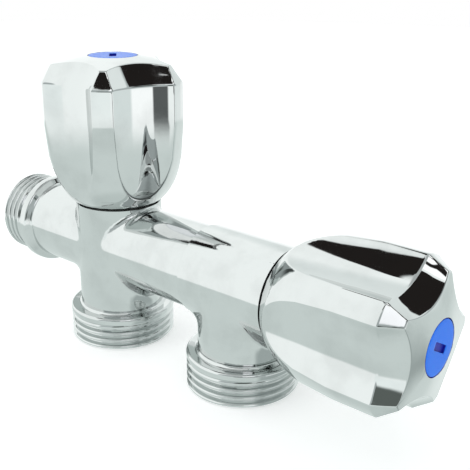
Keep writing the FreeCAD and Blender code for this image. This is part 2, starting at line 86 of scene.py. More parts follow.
class TapSizes(bpy.types.PropertyGroup):
    """Sizes that shape the visible surfaces without changing what fits."""
    cast_fillet: FloatProperty(
        name="Casting fillet", default=4.5, min=0.5,
        description="Rounding where a column meets the barrel, in millimetres")
    skin_cell: FloatProperty(
        name="Casting mesh", default=0.6, min=0.3,
        description="Spacing of the castings' mesh, in millimetres")
    flute_r: FloatProperty(
        name="Flute radius", default=16.0,
        description="Radius of the hand wheel's flutes, in millimetres")
    flute_min_r: FloatProperty(
        name="Flute depth radius", default=13.0,
        description="Hand wheel's axis to the bottom of a flute, in millimetres")
    chamfer_depth: FloatProperty(
        name="Chamfer depth", default=2.47,
        description="Radial depth of the hand wheel's top chamfer, in millimetres")
    chamfer_length: FloatProperty(
        name="Chamfer length", default=4.05,
        description="Axial length of the hand wheel's top chamfer, in millimetres")
    crown: FloatProperty(
        name="Crown", default=1.65,
        description="Rise of the hand wheel's end face from its rim to the disc, in millimetres")
    rim_round: FloatProperty(
        name="Rim rounding", default=0.3,
        description="Reach of the rounding between the chamfer and the end face, in millimetres")
    edge_round: FloatProperty(
        name="Edge rounding", default=0.3,
        description="Rounding of the hand wheel's edges, in millimetres")
    thread_pitch: FloatProperty(
        name="Pipe thread pitch", default=1.814,
        description="Pitch of the three pipe threads, in millimetres")
    thread_depth: FloatProperty(
        name="Pipe thread depth", default=1.16,
        description="Depth of the three pipe threads, in millimetres")
    flutes: IntProperty(
        name="Flutes", default=5, min=3, description="Flutes around each hand wheel")


class TapColours(bpy.types.PropertyGroup):
    """Base colours of the finishes."""
    chrome: FloatVectorProperty(
        name="Chrome", subtype="COLOR", size=3, default=(0.66, 0.68, 0.675),
        description="Tint of the plating")
    disc: FloatVectorProperty(
        name="Index disc", subtype="COLOR", size=3, default=(0.004, 0.19, 1.0),
        description="Blue of the index discs")
    # painted shade: this darker blue stands in for the shade in the prising slot and along the
    # disc's outer edge
    slot: FloatVectorProperty(
        name="Prising slot", subtype="COLOR", size=3, default=(0.0, 0.008, 0.45),
        description="Darker blue on the floor of the prising slot")
    brass: FloatVectorProperty(
        name="Brass", subtype="COLOR", size=3, default=(0.78, 0.60, 0.28),
        description="Turned brass of the headworks")
    studio: FloatVectorProperty(
        name="Studio white", subtype="COLOR", size=3, default=(1.0, 1.0, 1.0),
        description="Colour of the studio's light")


# Meshes ------------------------------------------------------------------------------------------

def added(name, data):
    """A new object in the scene, made of a mesh or a camera."""
    made = bpy.data.objects.new(name, data)
    bpy.context.scene.collection.objects.link(made)
    return made


def finished(name, vertices, faces, material_slots=(), face_slots=None):
    """An object from vertices in millimetres, closed up and with its faces outwards."""
    mesh = bpy.data.meshes.new(name)
    mesh.from_pydata((np.asarray(vertices) * MM).tolist(), [], [list(f) for f in faces])
    for material in material_slots:
        mesh.materials.append(material)
    if face_slots is not None:
        mesh.polygons.foreach_set("material_index", face_slots)
    body = bmesh.new()
    body.from_mesh(mesh)
    bmesh.ops.remove_doubles(body, verts=body.verts, dist=1e-7)
    bmesh.ops.dissolve_degenerate(body, dist=1e-7, edges=body.edges)
    bmesh.ops.recalc_face_normals(body, faces=body.faces)
    body.to_mesh(mesh)
    body.free()
    return added(name, mesh)


def smoothed(piece, sharp_degrees=35):
    """Smooth shading with crisp edges, where large faces set the normals."""
    mesh = piece.data
    mesh.shade_smooth()
    mesh.set_sharp_from_angle(angle=math.radians(sharp_degrees))
    keeper = piece.modifiers.new("face_weighted", "WEIGHTED_NORMAL")
    keeper.keep_sharp = True
    keeper.weight = 50
    shaped = bpy.data.meshes.new_from_object(
        piece.evaluated_get(bpy.context.evaluated_depsgraph_get()))
    shaped.name = piece.name
    piece.modifiers.clear()
    piece.data = shaped
    bpy.data.meshes.remove(mesh)
    return piece


def grid_faces(rows, columns, close_rows=False, close_columns=True):
    """Quads over a grid of vertices numbered row by row."""
    faces = []
    for i in range(rows if close_rows else rows - 1):
        low, high = i * columns, (i + 1) % rows * columns
        for j in range(columns if close_columns else columns - 1):
            k = (j + 1) % columns
            faces.append((low + j, low + k, high + k, high + j))
    return faces


def upright(points, x):
    """From a turned shape's own axis to the frame, for one that points up at x."""
    return np.asarray(points) + np.array([x, 0, 0])


def lying(points, x):
    """From a turned shape's own axis to the frame, for one that points along +X from x."""
    p = np.asarray(points)
    return np.stack([p[:, 2] + x, p[:, 1], -p[:, 0]], axis=1)


def around(radii, heights, turns):
    """Points at the given radii, heights and angles, which are arrays of one shape."""
    return np.stack([radii * np.cos(turns), radii * np.sin(turns), heights], -1).reshape(-1, 3)


# Distance fields for the castings ----------------------------------------------------------------

TEE_BARREL_R = 10.05
BORE_R = 7.0
CHAMBER_R = 8.0
BONNET_BORE_R = 8.34
BONNET_BORE_DEPTH = 7.7
SEAT_DEPTH = 8.0       # barrel's axis down to the seat
LIP_HEIGHT = 0.8
LIP_R = 5.5
SEAT_R = 4.5           # hole through the seat
SEAT_FLOOR = 10.8      # barrel's axis down to the seat's underside
SEAT_OVERRUN = 1.0     # how far the seat's hole runs on at each end
OUTLET_BORE_R = 8.0
SOCKET_R = 8.6
SPIGOT_R = 8.55
SPIGOT_LENGTH = 8.0
INNER_ROUND = 0.3
FILLET_FADE = 6.0      # height below a neck in which the column's fillet dies away
FACING_DEPTH = 0.1     # second column behind its neck's end face
FACING_ROUND = 1.0
POST_ROUND = 0.5


def melt(a, b, width):
    """The union of two fields, with a fillet where they meet at an angle."""
    width = np.maximum(width, 1e-6)
    near = np.maximum(width - np.abs(a - b), 0) / width
    return np.minimum(a, b) - near * near * width / 4


def trim(a, b, width):
    """What lies in both fields, with a rounded edge."""
    return -melt(-a, -b, width)


def barrel(p, radius):
    """Distance to an endless bar on the X axis."""
    return np.hypot(p[:, 1], p[:, 2]) - radius


def column(p, radius, x):
    """Distance to an endless upright bar at x."""
    return np.hypot(p[:, 0] - x, p[:, 1]) - radius


def crossing(p, x):
    """How squarely barrel and column cross: 1 at a right angle, 0 where they run together."""
    across = np.hypot(p[:, 1], p[:, 2]) * np.hypot(p[:, 0] - x, p[:, 1])
    return 1 - np.clip(p[:, 1] ** 2 / np.maximum(across, 1e-6), 0, 1)


def tee_outside(p):
    """Outside of the first casting: barrel and first column, filleted together below the neck."""
    width = bpy.context.scene.tap_sizes.cast_fillet * crossing(p, VALVE_1_X)
    width = width * np.clip((NECK - p[:, 2]) / FILLET_FADE, 0, 1)
    return melt(barrel(p, TEE_BARREL_R), column(p, COLUMN_R, VALVE_1_X), width)


def end_outside(p):
    """Outside of the second casting: barrel end and second column, faced off behind its neck."""
    width = bpy.context.scene.tap_sizes.cast_fillet * crossing(p, OUTLET_2_X)
    post = trim(column(p, COLUMN_R, OUTLET_2_X), p[:, 2], POST_ROUND)
    post = trim(post, p[:, 0] - (HEAD_2_X + NECK - FACING_DEPTH), FACING_ROUND)
    return melt(barrel(p, COLUMN_R), post, width)


def chamber_field(radial, h):
    """Room around a valve: bonnet bore, chamber down to the seat, and the hole through the seat."""
    room = trim(radial - CHAMBER_R, -(h + SEAT_DEPTH + LIP_HEIGHT), INNER_ROUND)
    lip = trim(trim(radial - LIP_R, SEAT_R - radial, INNER_ROUND), h + SEAT_DEPTH, INNER_ROUND)
    room = trim(room, -lip, INNER_ROUND)
    bonnet = trim(radial - BONNET_BORE_R, NECK - BONNET_BORE_DEPTH - h, INNER_ROUND)
    half = SEAT_FLOOR / 2
    hole = trim(radial - SEAT_R, np.abs(h + half) - half - SEAT_OVERRUN, INNER_ROUND)
    return melt(melt(room, bonnet, INNER_ROUND), hole, INNER_ROUND)


def tee_inside(p):
    """Water room of the first casting."""
    room = chamber_field(np.hypot(p[:, 0] - VALVE_1_X, p[:, 1]), p[:, 2])
    room = melt(room, barrel(p, BORE_R), INNER_ROUND)
    socket = trim(barrel(p, SOCKET_R), SEAM_X - SPIGOT_LENGTH - p[:, 0], INNER_ROUND)
    room = melt(room, socket, INNER_ROUND)
    outlet = trim(column(p, OUTLET_BORE_R, VALVE_1_X), p[:, 2] + SEAT_FLOOR, INNER_ROUND)
    return melt(room, outlet, INNER_ROUND)


def end_inside(p):
    """Water room of the second casting."""
    room = chamber_field(np.hypot(p[:, 1], p[:, 2]), p[:, 0] - HEAD_2_X)
    feed = trim(barrel(p, BORE_R), p[:, 0] - (HEAD_2_X - SEAT_FLOOR), INNER_ROUND)
    outlet = trim(column(p, OUTLET_BORE_R, OUTLET_2_X), p[:, 2], INNER_ROUND)
    return melt(melt(room, feed, INNER_ROUND), outlet, INNER_ROUND)


def field_skin(field, low, high, cell):
    """Vertices and quads where a distance field is zero, one vertex to each cell it crosses."""
    axes = [np.arange(a, b + cell, cell) for a, b in zip(low, high)]
    shape = tuple(len(a) for a in axes)
    points = np.stack(np.meshgrid(*axes, indexing="ij"), -1).reshape(-1, 3)
    value = field(points).reshape(shape)
    inside = value < 0
    cells = tuple(n - 1 for n in shape)
    total = np.zeros(cells + (3,))
    count = np.zeros(cells, int)
    crossings = []
    index = np.indices(shape).transpose(1, 2, 3, 0).astype(float)
    for axis in range(3):
        first = [slice(None)] * 3
        second = [slice(None)] * 3
        first[axis], second[axis] = slice(0, -1), slice(1, None)
        a, b = value[tuple(first)], value[tuple(second)]
        cross = inside[tuple(first)] != inside[tuple(second)]
        where = index[tuple(first)].copy()
        where[..., axis] += np.where(cross, a / np.where(a == b, 1, a - b), 0)
        where *= cross[..., None]
        others = [k for k in range(3) if k != axis]
        for shift in ((0, 0), (0, 1), (1, 0), (1, 1)):
            cut = [slice(None)] * 3
            for k, s in zip(others, shift):
                cut[k] = slice(s, s + cells[k])
            total += where[tuple(cut)]
            count += cross[tuple(cut)]
        crossings.append((axis, others, cross, inside[tuple(first)]))
    used = count > 0
    number = np.full(cells, -1)
    number[used] = np.arange(used.sum())
    vertices = np.asarray(low) + cell * total[used] / count[used][:, None]
    quads = []
    for axis, (u, v), cross, start_inside in crossings:
        spots = np.argwhere(cross)
        keep = np.all([(spots[:, k] > 0) & (spots[:, k] < cells[k]) for k in (u, v)], axis=0)
        spots = spots[keep]
        corners = []
        for du, dv in ((1, 1), (0, 1), (0, 0), (1, 0)):
            spot = spots.copy()
            spot[:, u] -= du
            spot[:, v] -= dv
            corners.append(number[tuple(spot.T)])
        quad = np.stack(corners, 1)
        flip = ~start_inside[tuple(spots.T)]
        if axis == 1:
            flip = ~flip
        quad[flip] = quad[flip][:, ::-1]
        quads.append(quad)
    return settle(field, vertices, cell), np.concatenate(quads)


def settle(field, vertices, cell):
    """Move vertices straight onto the field's surface, in a few shrinking steps."""
    step = 1e-3
    for _ in range(5):
        value = field(vertices)
        slope = np.stack([(field(vertices + step * e) - field(vertices - step * e)) / (2 * step)
                          for e in np.eye(3)], 1)
        size = np.maximum((slope ** 2).sum(1), 0.1)
        move = slope * (value / size)[:, None]
        length = np.maximum(np.linalg.norm(move, axis=1, keepdims=True), 1e-9)
        vertices = vertices - move * np.minimum(1, cell / 2 / length)
    return vertices


def open_edges(body, mouth, reach, least, most):
    """Open edges within reach of a mouth's plane, between two distances from its centre line."""
    point, normal = (Vector(v) for v in mouth)
    found = []
    for edge in body.edges:
        if not edge.is_boundary:
            continue
        away = (edge.verts[0].co + edge.verts[1].co) / 2 - point
        off = away.dot(normal)
        if abs(off) <= reach and least < (away - off * normal).length < most:
            found.append(edge)
    return found


# Pipe ends ---------------------------------------------------------------------------------------

PIPE_TURNS = np.linspace(0, 2 * np.pi, 121)
THREAD_STEPS = 14       # rows to each pitch
THREAD_SQUARENESS = 1.7
THREAD_PHASE = 0.35     # where the thread starts, in turns
THREAD_CHAMFER = 0.4
RUN_OUT = 0.8           # length in which the thread fades into its collar, in pitches
OUTLET_THREAD = 7.1
OUTLET_CREST_R = 13.22
COLLAR_TOP = 8.7
CLIP_TOP = 9.4          # outlet's end face up to the joint with its column
INLET_THREAD = 7.6
INLET_CREST_R = 10.48
INLET_COLLAR = (8.9, 10.9, 11.9)  # start, end, and foot of the slope behind it
INLET_CLIP = 12.9       # inlet's end face to the joint with the barrel


def tooth(turns):
    """Depth of a rounded pipe thread, from 0 on a crest to 1 in a root, along turns of it."""
    wave = np.cos(2 * np.pi * turns)
    return 0.5 - 0.5 * np.tanh(THREAD_SQUARENESS * wave) / math.tanh(THREAD_SQUARENESS)


def level_rows(outline):
    """Rows of (radius, h) pairs that stay the same all the way round."""
    return [np.stack([np.full_like(PIPE_TURNS, r), np.full_like(PIPE_TURNS, h)], 1)
            for r, h in outline]


def swept(rows):
    """Points and quads from rows of (radius, h) pairs, one pair to each angle."""
    table = np.stack(rows)
    turns = np.broadcast_to(PIPE_TURNS, table.shape[:2])
    points = around(table[..., 0], table[..., 1], turns)
    return points, grid_faces(len(rows), len(PIPE_TURNS), close_columns=False)


def pipe_end(crest, length, bore, collar):
    """A threaded pipe end: bore, end face, helical thread, then the collar's (radius, h) points.

    Every row has the same angles, but the thread's rows climb by one pitch over a full turn.
    """
    sizes = bpy.context.scene.tap_sizes
    pitch, depth = sizes.thread_pitch, sizes.thread_depth
    climb = pitch * PIPE_TURNS / (2 * np.pi)
    rows = level_rows(bore + [(crest - depth - 0.1, 0)])
    for k in range(-THREAD_STEPS, int(length / pitch * THREAD_STEPS) + 1):
        h = np.clip(k * pitch / THREAD_STEPS + climb, 0, length)
        fade = np.clip((length - h) / (RUN_OUT * pitch), 0, 1)
        radius = crest - depth * tooth((h - climb) / pitch + THREAD_PHASE) * fade
        radius = np.minimum(radius, crest - depth * 0.9 + h * depth / THREAD_CHAMFER)
        rows.append(np.stack([radius, h], 1))
    return swept(rows + level_rows(collar))


def bore_outline(radius, top):
    """The (radius, h) points of a pipe's bore, from its top down to its eased mouth."""
    mouth = rounded([(radius, 1.0), (radius, 0.4), (radius + 0.4, 0)], 0.1)
    return [(radius, top), (radius, 4.0)] + mouth


def rounded(outline, radius, steps=4):
    """An open outline of (r, h) points with every inner corner rounded by an arc."""
    points = [np.array(outline[0], float)]
    for before, corner, after in zip(outline, outline[1:], outline[2:]):
        before, corner, after = (np.array(q, float) for q in (before, corner, after))
        a, b = before - corner, after - corner
        la, lb = np.linalg.norm(a), np.linalg.norm(b)
        a, b = a / la, b / lb
        half = math.acos(np.clip(a @ b, -1, 1)) / 2
        if half > math.pi / 2 - 0.02:
            points.append(corner)
            continue
        reach = min(radius / math.tan(half), 0.45 * la, 0.45 * lb)
        size = reach * math.tan(half)
        middle = corner + (a + b) / np.linalg.norm(a + b) * size / math.sin(half)
        start, end = corner + a * reach, corner + b * reach
        for i in range(steps + 1):
            t = i / steps
            ray = (1 - t) * (start - middle) + t * (end - middle)
            points.append(middle + ray / np.linalg.norm(ray) * size)
    points.append(np.array(outline[-1], float))
    return [tuple(q) for q in points]


def outlet_rows():
    """A hose outlet's end, from its bore's joint round to the joint with its column."""
    collar = rounded([
        (COLLAR_R - 0.05, OUTLET_THREAD + 0.05), (COLLAR_R, OUTLET_THREAD + 0.2),
        (COLLAR_R, COLLAR_TOP), (COLUMN_R + 0.5, COLLAR_TOP - 0.05),
        (COLUMN_R, COLLAR_TOP + 0.45), (COLUMN_R, CLIP_TOP)], 0.7)
    return pipe_end(OUTLET_CREST_R, OUTLET_THREAD, bore_outline(OUTLET_BORE_R, CLIP_TOP), collar)


def inlet_rows():
    """The inlet's end, from its bore's joint round to the joint with the barrel."""
    start, end, foot = INLET_COLLAR
    collar = rounded([
        (INLET_CREST_R, INLET_THREAD + 0.05), (INLET_COLLAR_R, start), (INLET_COLLAR_R, end),
        (TEE_BARREL_R, foot), (TEE_BARREL_R, INLET_CLIP)], 0.9)
    return pipe_end(INLET_CREST_R, INLET_THREAD, bore_outline(BORE_R, INLET_CLIP), collar)


# Castings ----------------------------------------------------------------------------------------

SKIN_MARGIN = 1.2       # room round a casting for its field
MOUTH_GAP = 0.15        # cut edge of a skin to the turned end that is bridged to it
CUT_REACH = 0.02        # how far from a mouth's plane its skin's edges may lie
END_REACH = 0.5         # and its turned end's edges
SEAM_BEVEL = 0.25
WALL_MIDDLE = (COLUMN_R + SOCKET_R) / 2  # between every mouth's outer and inner edge


def casting(name, outside, inside, low, high, mouths, ends):
    """One casting: a skin from two distance fields, cut off at its mouths and joined to its ends.

    A mouth is (point on its plane, direction out of the casting). An end is (points, faces), open
    at both of its edges, or None where the mouth is only a flat face.
    """
    def field(p):
        return np.maximum(outside(p), -inside(p))

    cell = bpy.context.scene.tap_sizes.skin_cell
    vertices, quads = field_skin(field, low, high, cell)
    body = bmesh.new()
    made = [body.verts.new(v) for v in vertices]
    for quad in quads:
        try:
            body.faces.new([made[i] for i in quad])
        except ValueError:
            continue
    for point, normal in mouths:
        bmesh.ops.bisect_plane(
            body, geom=body.verts[:] + body.edges[:] + body.faces[:], dist=1e-4,
            plane_co=point, plane_no=normal, clear_outer=True)
    loose = [v for v in body.verts if not v.link_faces]
    bmesh.ops.delete(body, geom=loose, context="VERTS")
    bmesh.ops.remove_doubles(body, verts=body.verts, dist=1e-3)
    for mouth, end in zip(mouths, ends):
        skin_outer = open_edges(body, mouth, CUT_REACH, WALL_MIDDLE, 2 * COLUMN_R)
        skin_inner = open_edges(body, mouth, CUT_REACH, 1, WALL_MIDDLE)
        if end is None:
            bmesh.ops.bridge_loops(body, edges=skin_outer + skin_inner)
            continue
        ring = [body.verts.new(v) for v in end[0]]
        for f in end[1]:
            corners = [ring[i] for i in f]
            if len({tuple(round(c, 5) for c in v.co) for v in corners}) > 2:
                body.faces.new(corners)
        bmesh.ops.remove_doubles(body, verts=ring, dist=1e-4)
        skin = set(skin_outer + skin_inner)
        end_outer, end_inner = (
            [e for e in open_edges(body, mouth, END_REACH, *span) if e not in skin]
            for span in ((WALL_MIDDLE, math.inf), (0, WALL_MIDDLE)))
        bmesh.ops.bridge_loops(body, edges=skin_outer + end_outer)
        bmesh.ops.bridge_loops(body, edges=skin_inner + end_inner)
    bmesh.ops.recalc_face_normals(body, faces=body.faces)
    for v in body.verts:
        v.co *= MM
    mesh = bpy.data.meshes.new(name)
    body.to_mesh(mesh)
    body.free()
    return smoothed(added(name, mesh))


def make_tee():
    """First casting with its inlet, first outlet, neck and the joint's socket."""
    reach = COLUMN_R + SKIN_MARGIN
    low = (INLET_CLIP - 2, -reach, OUTLET_Z + CLIP_TOP - 1.5)
    high = (SEAM_X + 1, reach, NECK + 1.5)
    joint, joint_faces = swept(level_rows([
        (SOCKET_R, SEAM_X - 0.8), (SOCKET_R, SEAM_X), (TEE_BARREL_R - SEAM_BEVEL, SEAM_X),
        (TEE_BARREL_R, SEAM_X - SEAM_BEVEL), (TEE_BARREL_R, SEAM_X - 0.8)]))
    outlet, outlet_faces = outlet_rows()
    inlet, inlet_faces = inlet_rows()
    mouths = [
        ((INLET_CLIP + MOUTH_GAP, 0, 0), (-1, 0, 0)),
        ((VALVE_1_X, 0, OUTLET_Z + CLIP_TOP + MOUTH_GAP), (0, 0, -1)),
        ((VALVE_1_X, 0, NECK), (0, 0, 1)),
        ((SEAM_X - 0.8 - MOUTH_GAP, 0, 0), (1, 0, 0)),
    ]
    ends = [
        (lying(inlet, 0), inlet_faces),
        (upright(outlet + [0, 0, OUTLET_Z], VALVE_1_X), outlet_faces),
        None,
        (lying(joint, 0), joint_faces),
    ]
    return casting("inlet_casting", tee_outside, tee_inside, low, high, mouths, ends)


def make_end():
    """Second casting with its spigot, neck and second outlet."""
    reach = COLUMN_R + SKIN_MARGIN
    spigot_end, joint_end = SEAM_X - SPIGOT_LENGTH, SEAM_X + 0.85
    low = (SEAM_X + 0.4, -reach, OUTLET_Z + CLIP_TOP - 1.5)
    high = (HEAD_2_X + NECK + 1.5, reach, reach)
    joint, joint_faces = swept(level_rows([
        (BORE_R, joint_end), (BORE_R, spigot_end), (SPIGOT_R, spigot_end), (SPIGOT_R, SEAM_X),
        (COLUMN_R - SEAM_BEVEL, SEAM_X), (COLUMN_R, SEAM_X + SEAM_BEVEL), (COLUMN_R, joint_end)]))
    outlet, outlet_faces = outlet_rows()
    mouths = [
        ((OUTLET_2_X, 0, OUTLET_Z + CLIP_TOP + MOUTH_GAP), (0, 0, -1)),
        ((HEAD_2_X + NECK, 0, 0), (1, 0, 0)),
        ((joint_end + MOUTH_GAP, 0, 0), (-1, 0, 0)),
    ]
    ends = [
        (upright(outlet + [0, 0, OUTLET_Z], OUTLET_2_X), outlet_faces),
        None,
        (lying(joint, 0), joint_faces),
    ]
    return casting("end_casting", end_outside, end_inside, low, high, mouths, ends)


# Hand wheels -------------------------------------------------------------------------------------

HANDLE_ROUND_TOP = 30.9
HANDLE_ROUND_DEPTH = 9.0
HANDLE_SKIRT_R = 10.5
FOOT_EDGE = 0.25
SHOULDER_EDGE = 0.28
SKIRT_MOUTH_R = 9.65
SKIRT_MOUTH_TOP = 17.5
HOLLOW_R = 10.9
HOLLOW_FOOT = 19.0
HUB_R = 7.03
HUB_FOOT = 30.0
SPLINE_R = 4.04
SCREW_HOLE_R = 2.2
RECESS_R = 5.0
WEB_LOW, WEB_HIGH = 37.0, 39.0
DISC_SEAT_R = 5.93
DISC_SEAT = DISC_FOOT + 2.2  # where the disc's underside rests
HANDLE_1_TURN = -51.0
HANDLE_2_TURN = 233.2


def ridge_radius(h):
    """Radius over the ridges at height h: an ellipse from the skirt up to the straight side."""
    centre = HANDLE_R - HANDLE_ROUND_DEPTH
    sine = (HANDLE_SKIRT_R - centre) / HANDLE_ROUND_DEPTH
    half_length = (HANDLE_ROUND_TOP - HANDLE_FOOT) / math.sqrt(1 - sine * sine)
    below = np.clip((HANDLE_ROUND_TOP - h) / half_length, 0, 1)
    return centre + HANDLE_ROUND_DEPTH * np.sqrt(1 - below * below)


def flute_angle(radius, flute_r, centre_r):
    """Half the angle that a flute takes up at a radius, or 0 where the body is inside the flute."""
    cosine = (centre_r ** 2 + radius ** 2 - flute_r ** 2) / (2 * centre_r * radius)
    return np.arccos(np.clip(cosine, -1, 1))


def flute_surface(angle, flute_r, centre_r):
    """Distance from the hand wheel's axis to a flute, at an angle from the flute's middle."""
    inside = np.maximum(flute_r ** 2 - (centre_r * np.sin(angle)) ** 2, 0)
    surface = centre_r * np.cos(angle) - np.sqrt(inside)
    return np.where(np.abs(centre_r * np.sin(angle)) < flute_r, surface, 1e3)


def handle_rows():
    """Rows of (radius, angle, height) round the whole section of a hand wheel."""
    sizes = bpy.context.scene.tap_sizes
    count = sizes.flutes
    centre_r = sizes.flute_min_r + sizes.flute_r
    half = math.pi / count
    ridge = np.sin(np.linspace(-1, 1, 9)[:-1] * math.pi / 2)
    flute = np.sin(np.linspace(-1, 1, 25)[:-1] * math.pi / 2)

    def columns(edge):
        """Angles of all columns, where a flute takes up edge on each side of its middle."""
        sector = np.concatenate([ridge * (half - edge), half + flute * edge])
        return np.concatenate([sector + 2 * half * i for i in range(count)])

    def outer(turns, body_r, flute_r):
        """Radius of the section at each angle, with the edges between ridges and flutes rounded."""
        cut = flute_surface(turns % (2 * half) - half, flute_r, centre_r)
        return melt(np.full_like(turns, body_r), cut, sizes.edge_round)

    def section(body_r, flute_r):
        turns = columns(float(flute_angle(body_r, flute_r, centre_r)))
        return outer(turns, body_r, flute_r), turns

    rim = HANDLE_FACE - sizes.crown
    shoulder = rim - sizes.chamfer_length
    # rows where the flutes' half angle grows by equal steps, up to the straight side
    low_h = np.linspace(HANDLE_FOOT, HANDLE_ROUND_TOP, 4001)
    angles = flute_angle(ridge_radius(low_h), sizes.flute_r, centre_r)
    start = low_h[np.argmax(angles > 1e-4)]
    wanted = np.linspace(0, angles[-1], 17)[1:-1]
    heights = list(np.linspace(HANDLE_FOOT + FOOT_EDGE, start, 6))
    heights += list(low_h[np.searchsorted(angles, wanted)]) + [HANDLE_ROUND_TOP]
    heights += list(np.linspace(HANDLE_ROUND_TOP, shoulder - 0.6, 6)[1:])
    rows = [(*section(HANDLE_SKIRT_R - FOOT_EDGE, sizes.flute_r), HANDLE_FOOT)]
    rows += [(*section(float(ridge_radius(np.float64(h))), sizes.flute_r), h) for h in heights]

    # the flutes run on at the chamfer's slope until they leave the crowned end face
    rim_r = HANDLE_R - sizes.chamfer_depth
    lower, turns = section(HANDLE_R, sizes.flute_r)
    upper, turns_up = section(rim_r, sizes.flute_r + sizes.chamfer_depth)
    height = np.full_like(upper, rim)
    for _ in range(8):
        grown = sizes.flute_r + sizes.chamfer_depth * (height - shoulder) / sizes.chamfer_length
        upper = outer(turns_up, rim_r, grown)
        height = crowned(upper, rim_r, rim)
    for radius, h, blend in chamfer_rows(lower, upper, shoulder, height, rim_r, rim):
        rows.append((radius, (1 - blend) * turns + blend * turns_up, h))
    even = columns(half / 2)
    inner = [
        (DISC_SEAT_R + 0.06, HANDLE_FACE), (DISC_SEAT_R, HANDLE_FACE - 0.1),
        (DISC_SEAT_R, DISC_SEAT), (RECESS_R, DISC_SEAT), (RECESS_R, WEB_HIGH),
        (SCREW_HOLE_R, WEB_HIGH), (SCREW_HOLE_R, WEB_LOW), (SPLINE_R, WEB_LOW),
        (SPLINE_R, HUB_FOOT), (HUB_R, HUB_FOOT), (HUB_R, HANDLE_FACE - 4),
        (HOLLOW_R, HANDLE_FACE - 6), (HOLLOW_R, HOLLOW_FOOT),
        (SKIRT_MOUTH_R, SKIRT_MOUTH_TOP), (SKIRT_MOUTH_R, HANDLE_FOOT)]
    return rows + [(np.full_like(even, r), even, h) for r, h in inner]


def crowned(radius, rim_r, rim):
    """Height of the end face at a radius: it rises in a straight line from its rim to the disc."""
    share = np.clip((rim_r - radius) / (rim_r - DISC_SEAT_R), 0, 1)
    return rim + (HANDLE_FACE - rim) * share


def chamfer_rows(lower, upper, shoulder, height, rim_r, rim):
    """Rows over the chamfer and the end face, as (radius, height, turn).

    turn runs from 0 at the shoulder's angles to 1 at the rim's.
    """
    rows = []
    crisp = SHOULDER_EDGE
    soft = bpy.context.scene.tap_sizes.rim_round
    length = np.hypot(upper - lower, height - shoulder)
    along_r, along_h = (upper - lower) / length, (height - shoulder) / length
    for t in np.linspace(0, 1, 5):
        # a quadratic curve round the shoulder
        rows.append((lower + t * t * crisp * along_r,
                     shoulder - (1 - t) ** 2 * crisp + t * t * crisp * along_h, 0.0))
    for t in (0.25, 0.5, 0.75):
        rows.append((lower + t * (upper - lower), shoulder + t * (height - shoulder), t))
    inner_r = upper - soft
    inner_h = crowned(inner_r, rim_r, rim)
    for t in np.linspace(0, 1, 7):
        back, onward = (1 - t) ** 2, t * t
        r = upper - back * soft * along_r + onward * (inner_r - upper)
        h = height - back * soft * along_h + onward * (inner_h - height)
        rows.append((r, h, 1.0))
    for t in (0.3, 0.6, 0.85):
        r = (1 - t) * inner_r + t * (DISC_SEAT_R + 0.06)
        rows.append((r, crowned(r, rim_r, rim), 1.0))
    return rows


def make_handle(name, place, turn):
    """One hand wheel: fluted outside, rounded edges, hub, web and the disc's recess."""
    rows = handle_rows()
    points = []
    for radius, turns, h in rows:
        height = np.broadcast_to(h, radius.shape)
        points.append(around(radius, height, turns + math.radians(turn)))
    vertices = place(np.concatenate(points))
    faces = grid_faces(len(rows), len(rows[0][0]), close_rows=True)
    return smoothed(finished(name, vertices, faces))


# Index discs -------------------------------------------------------------------------------------

PRISE_HALF = (2.65, 0.85)
PRISE_DEPTH = 0.5
PRISE_TURN = 7.7
PRISE_SQUARENESS = 14
DISC_EDGE = 0.3
SNAP_RING = (4.02, 4.92)  # inner and outer radius


def make_disc(name, place, turn, materials):
    """A blue disc with a softened rim, a snap ring below it and a small prising slot."""
    columns = 96
    turns = np.linspace(0, 2 * np.pi, columns, endpoint=False)
    power = PRISE_SQUARENESS
    slot_r = (np.abs(np.cos(turns) / PRISE_HALF[0]) ** power
              + np.abs(np.sin(turns) / PRISE_HALF[1]) ** power) ** (-1 / power)
    edge = [(DISC_R - DISC_EDGE * (1 - math.cos(t)), HANDLE_FACE - DISC_EDGE * (1 - math.sin(t)))
            for t in np.linspace(0, math.pi / 2, 6)]
    inner, outer = SNAP_RING
    outline = [
        (0, DISC_SEAT), (inner, DISC_SEAT), (inner, DISC_FOOT), (outer, DISC_FOOT),
        (outer, DISC_SEAT), (DISC_R - 0.1, DISC_SEAT), (DISC_R, DISC_SEAT + 0.1),
        *edge, (4.6, HANDLE_FACE), (3.4, HANDLE_FACE)]
    rows = [(np.full(columns, float(r)), h) for r, h in outline]
    for grow, depth in ((0.1, 0), (0.03, 0.02), (0, 0.1), (0, PRISE_DEPTH)):
        rows.append((slot_r + grow, HANDLE_FACE - depth))
    rows.append((np.zeros(columns), HANDLE_FACE - PRISE_DEPTH))
    points = [around(r, np.full(columns, h), turns + math.radians(turn)) for r, h in rows]
    faces = grid_faces(len(rows), columns)
    # painted shade: the slot and the outermost edge, which lie in shade, take the darker blue
    dark = set(range(6, 10)) | {len(rows) - 3, len(rows) - 2}
    marks = [int(i // columns in dark) for i in range(len(faces))]
    return smoothed(finished(name, place(np.concatenate(points)), faces, materials, marks))


# Finishes ----------------------------------------------------------------------------------------

